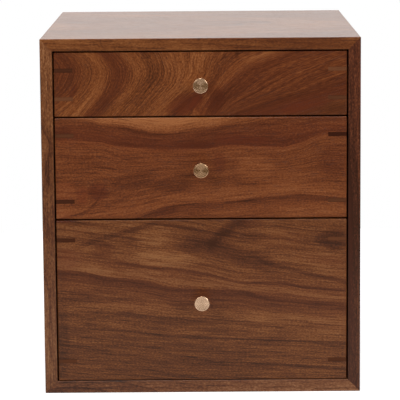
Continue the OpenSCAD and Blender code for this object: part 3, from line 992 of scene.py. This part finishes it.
def knobSection():
    # near is how close an extra ring lies to a rounded edge, to keep the flat beside it flat
    k = knobSizes
    seat, face = k["base"] - k["baseRound"], k["length"]
    headBack = face - k["headDeep"]
    edge = k["head"] - k["headRound"]
    points = [(0, 0), (seat - k["near"], 0)]
    points += arc(seat, k["baseRound"], k["baseRound"], -90, 0, 4)
    points += arc(seat, k["baseDeep"] - k["baseRound"], k["baseRound"], 0, 90, 4)
    for i in range(1, k["neckSteps"]):
        # the neck is waisted: it swells both ways from its narrowest place
        depth = k["baseDeep"] + (headBack - k["baseDeep"]) * i / k["neckSteps"]
        if depth < k["waistAt"]:
            part = (k["waistAt"] - depth) / (k["waistAt"] - k["baseDeep"])
            points.append((k["waist"] + (seat - k["waist"]) * part ** 2, depth))
        else:
            part = (depth - k["waistAt"]) / (headBack - k["waistAt"])
            points.append((k["waist"] + (k["flare"] - k["waist"]) * part ** 2, depth))
    points += [(k["flare"], headBack), (k["flare"] + k["backFlat"], headBack)]
    points += arc(edge, headBack + k["headRound"], k["headRound"], -90, 0)
    points += arc(edge, face - k["headRound"], k["headRound"], 0, 90)
    dishEdge = k["head"] - k["rim"]
    lipWide, lipDeep = k["lip"]
    points += [(edge - k["near"], face), (dishEdge + lipWide, face), (dishEdge, face - lipDeep)]
    for i in range(1, k["dishSteps"] + 1):
        radius = dishEdge * (1 - i / k["dishSteps"])
        points.append((radius, face - k["dish"] * (1 - (radius / dishEdge) ** 2)))
    return points


# painted shade: how much darker each knob's brass is painted, standing for the dimmer reflection it
# shows
knobPaintedShade = {"top": 0.2, "middle": 1.0, "bottom": 0.0}
turnedNodes = turnedGroup()
outOfFront = (-math.pi / 2, 0, 0)
for drawer in drawers:
    node = drawer + "_drawer_knob"
    low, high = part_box(node)
    place = (0, high.y, (low.z + high.z) / 2)
    knob = built(node + "_turned", profileMesh("knobSection", knobSection()), turnedNodes,
                 {"Sides": knobSizes["sides"], "Place": place, "Turn": outOfFront,
                  "Material": finishes["turned_brass"]}, knobSizes["crease"])
    # the knob's painted shade is stored on its points
    layer = knob.data.attributes.new("tarnish", "FLOAT", "POINT")
    layer.data.foreach_set("value", [knobPaintedShade[drawer]] * len(knob.data.vertices))
    dress(knob, node)
    off = [*(Vector(knob.bound_box[0]) - low), *(Vector(knob.bound_box[6]) - high)]
    print("knob turned:", drawer, "off its place by", [round(c / mm, 2) for c in off])

screwSizes = {
    "back": {"node": "back_panel_screws", "head": 2.1, "shank": 1.1, "length": 15, "recess": 1.1},
    "runner": {"node": "runner_screws", "head": 2.8, "shank": 1.45, "length": 13, "recess": 1.4},
}
screwLook = {"rim": 0.12, "rimDeep": 0.1, "blunt": 0.2, "short": 0.05, "sides": 24, "crease": 30}


def screwSection(size):
    # countersunk, with the head's face at 0 and the point at its length
    look = screwLook
    head, shank = size["head"], size["shank"]
    tip = size["length"] - look["short"]
    return [(0, 0), (head - look["rim"], 0), (head, look["rimDeep"]), (shank, head - shank),
            (shank, size["length"] - shank * 2), (look["blunt"], tip), (0, tip)]


crossLook = {"half": 0.21, "over": 0.2, "deep": 0.65, "wideTop": 1.1, "wideEnd": 0.6}


def crossMesh(name, reach):
    # the cross for a driver, which narrows with its depth: its sizes are shares of an arm's reach
    half = crossLook["half"]
    arm, outline = [(1, -half), (1, half), (half, half)], []
    for quarter in range(4):
        outline += arm
        arm = [(-y, x) for x, y in arm]
    ends = ((crossLook["wideTop"], crossLook["over"]), (crossLook["wideEnd"], -crossLook["deep"]))
    corners = [(x * wide * reach, y * wide * reach, z * reach)
               for wide, z in ends for x, y in outline]
    count = len(outline)
    sides = [(i, i + count, (i + 1) % count + count, (i + 1) % count) for i in range(count)]
    top, end = list(range(count)), list(reversed(range(count, 2 * count)))
    return meshOf(name, corners, faces=[top, end, *sides])


def screwGroup():
    # a turned screw with a cross in its head, put on points that carry a turn
    g, given = nodeGroup("screws", {"Section": "Object", "Cross": "Object", "Material": "Material"})
    section = g.node("GeometryNodeObjectInfo", {"Object": given["Section"]})["Geometry"]
    cross = g.node("GeometryNodeObjectInfo", {"Object": given["Cross"]})["Geometry"]
    screw = turned(g, section, screwLook["sides"])
    cut = g.shape("MeshBoolean", {"Mesh 1": screw, "Mesh 2": cross}, operation="DIFFERENCE")
    turn = g.shape("InputNamedAttribute", {"Name": "turn"}, data_type="QUATERNION")
    many = g.shape("InstanceOnPoints", {"Points": given["Geometry"], "Instance": welded(g, cut),
                                        "Rotation": turn})
    closeGroup(g, many, given["Material"])
    return g.tree


def pointsMesh(name, places, turns):
    mesh = meshOf(name, places)
    layer = mesh.attributes.new("turn", "QUATERNION", "POINT")
    for item, turn in zip(layer.data, turns):
        item.value = turn
    return mesh


def screwFacing(kind, onRight):
    # the back's screws face the rear, and the runners' the middle of the case
    if kind == "back":
        return (0, 1, 0)
    return (-1 if onRight else 1, 0, 0)


def heads(node, kind):
    # where the node's screws have the middles of their heads, and how they are turned
    work = opened(node)
    places, turns = [], []
    for island in islands(work):
        low, high = [Vector([pick(vert.co[i] for vert in island) for i in range(3)])
                     for pick in (min, max)]
        way = Vector(screwFacing(kind, low.x > 0))
        places.append([(low[i] + high[i]) / 2 + (high[i] - low[i]) / 2 * way[i] for i in range(3)])
        turns.append(tuple(way.to_track_quat("Z", "X")))
    work.free()
    return places, turns


screwNodes = screwGroup()
for kind, size in screwSizes.items():
    title = kind + "Screw"
    section = linked(title + "Section", profileMesh(title + "Section", screwSection(size)))
    cross = linked(title + "Cross", crossMesh(title + "Cross", size["recess"] * mm))
    places, turns = heads(size["node"], kind)
    screws = built(size["node"] + "_crossed", pointsMesh(title + "Heads", places, turns),
                   screwNodes, {"Section": section, "Cross": cross,
                                "Material": finishes["steel"]}, screwLook["crease"])
    bpy.data.objects.remove(section)
    bpy.data.objects.remove(cross)
    dress(screws, size["node"])
    print("screws made:", kind, len(places))

for drawer in drawers:
    for node in (drawer + "_drawer_knob_screw", drawer + "_drawer_knob_washer"):
        piece = closed(opened(node), node, node + "_bright")
        creased(piece, softening["smooth"])
        dress(piece, node, finishes["steel"])
print("knob screws and washers cleaned")

stageLook = {
    "radius": 0.69,
    "sides": 96,
    "sunk": 0.0002,
    "tone": 0.8,
    "rough": 0.9,
    "glow": 0.65,
    "mirrorGlow": 0.42,
    "worldLight": 0.4,
    "roomFront": (0.19, 0.148, 0.09, 1),
    "roomBack": (1.0, 0.93, 0.88, 1),
    "roomTurn": (-0.5, 0.35),
}


def lookedAt(g):
    # 1 where the camera sees it, and 1 where a mirror or glass shows it
    path = g.node("LightPath")
    mirrored = path["Is Glossy Ray"] + path["Is Transmission Ray"]
    return path["Is Camera Ray"], mirrored.math("MINIMUM", 1.0)


def makeFloor():
    work = bmesh.new()
    bmesh.ops.create_circle(work, cap_ends=True, radius=stageLook["radius"],
                            segments=stageLook["sides"])
    mesh = bpy.data.meshes.new("paleFloor")
    work.to_mesh(mesh)
    work.free()
    floor = linked("paleFloor", mesh)
    floor.location.z = -stageLook["sunk"]
    g = Material("paleFloor")
    tone = stageLook["tone"]
    g.finish((tone, tone, tone, 1), stageLook["rough"], IOR=1.0)
    seen, mirrored = lookedAt(g)
    shine = seen * stageLook["glow"] + mirrored * stageLook["mirrorGlow"]
    glow = g.node("Emission", {"Color": (1, 1, 1, 1), "Strength": shine})["Emission"]
    both = g.node("AddShader", [Value(g, g.shader.outputs[0]), glow])["Shader"]
    g.feed(g.tree.nodes["Material Output"].inputs["Surface"], both)
    paint(floor, g.material)


def makeWorld():
    # white to the camera, and to mirrors a room that is white behind the object and dim before it
    world = bpy.data.worlds.new("studio")
    bpy.context.scene.world = world
    world.use_nodes = True
    world.node_tree.nodes.clear()
    g = Graph(world.node_tree)
    facing = g.node("SeparateXYZ", [g.node("TexCoord")["Generated"]])["Y"]
    room = g.mix(facing.ease(*stageLook["roomTurn"]), stageLook["roomFront"], stageLook["roomBack"])
    seen, mirrored = lookedAt(g)
    bright = (seen + mirrored).math("MINIMUM", 1.0)
    strength = bright + (1 - bright) * stageLook["worldLight"]
    back = g.node("Background", [g.mix(mirrored, (1, 1, 1, 1), room), strength])["Background"]
    g.node("OutputWorld", [back])


lampAim = (0, 0, 0.15)
lamps = {
    "overhead": {"place": (0.0, -0.34, 1.5), "size": 0.5, "power": 6.3},
    "frontLeft": {"place": (-1.3, -1.6, 1.3), "size": 1.0, "power": 16},
    "frontRight": {"place": (1.3, -1.6, 1.1), "size": 1.0, "power": 14},
    "rear": {"place": (0.0, 2.6, 0.75), "size": 1.4, "power": 4},
}


def makeLamps():
    for name, lamp in lamps.items():
        data = bpy.data.lights.new(name, "AREA")
        data.size = lamp["size"]
        data.energy = lamp["power"]
        light = linked(name, data)
        light.location = lamp["place"]
        way = Vector(lampAim) - light.location
        light.rotation_euler = way.to_track_quat("-Z", "Y").to_euler()


camera = {
    "place": (0.0041, -2.0169, 0.4460),
    "yaw": -0.159,
    "pitch": 8.712,
    "roll": -0.43,
    "focal": 5.76725,  # in widths of the sensor
}


def makeCamera():
    data = bpy.data.cameras.new("photoCamera")
    data.lens = data.sensor_width * camera["focal"]
    made = linked("photoCamera", data)
    turn = Matrix.Identity(3)
    for name, axis in (("roll", "Y"), ("pitch", "X"), ("yaw", "Z")):
        turn = turn @ Matrix.Rotation(math.radians(camera[name]), 3, axis)
    right, ahead, up = turn
    axes = Matrix((right, up, -ahead)).transposed().to_4x4()
    made.matrix_world = Matrix.Translation(camera["place"]) @ axes
    bpy.context.scene.camera = made


makeFloor()
makeWorld()
makeLamps()
makeCamera()
bpy.context.scene.view_settings.view_transform = "Standard"
print("stage, lamps and camera set")
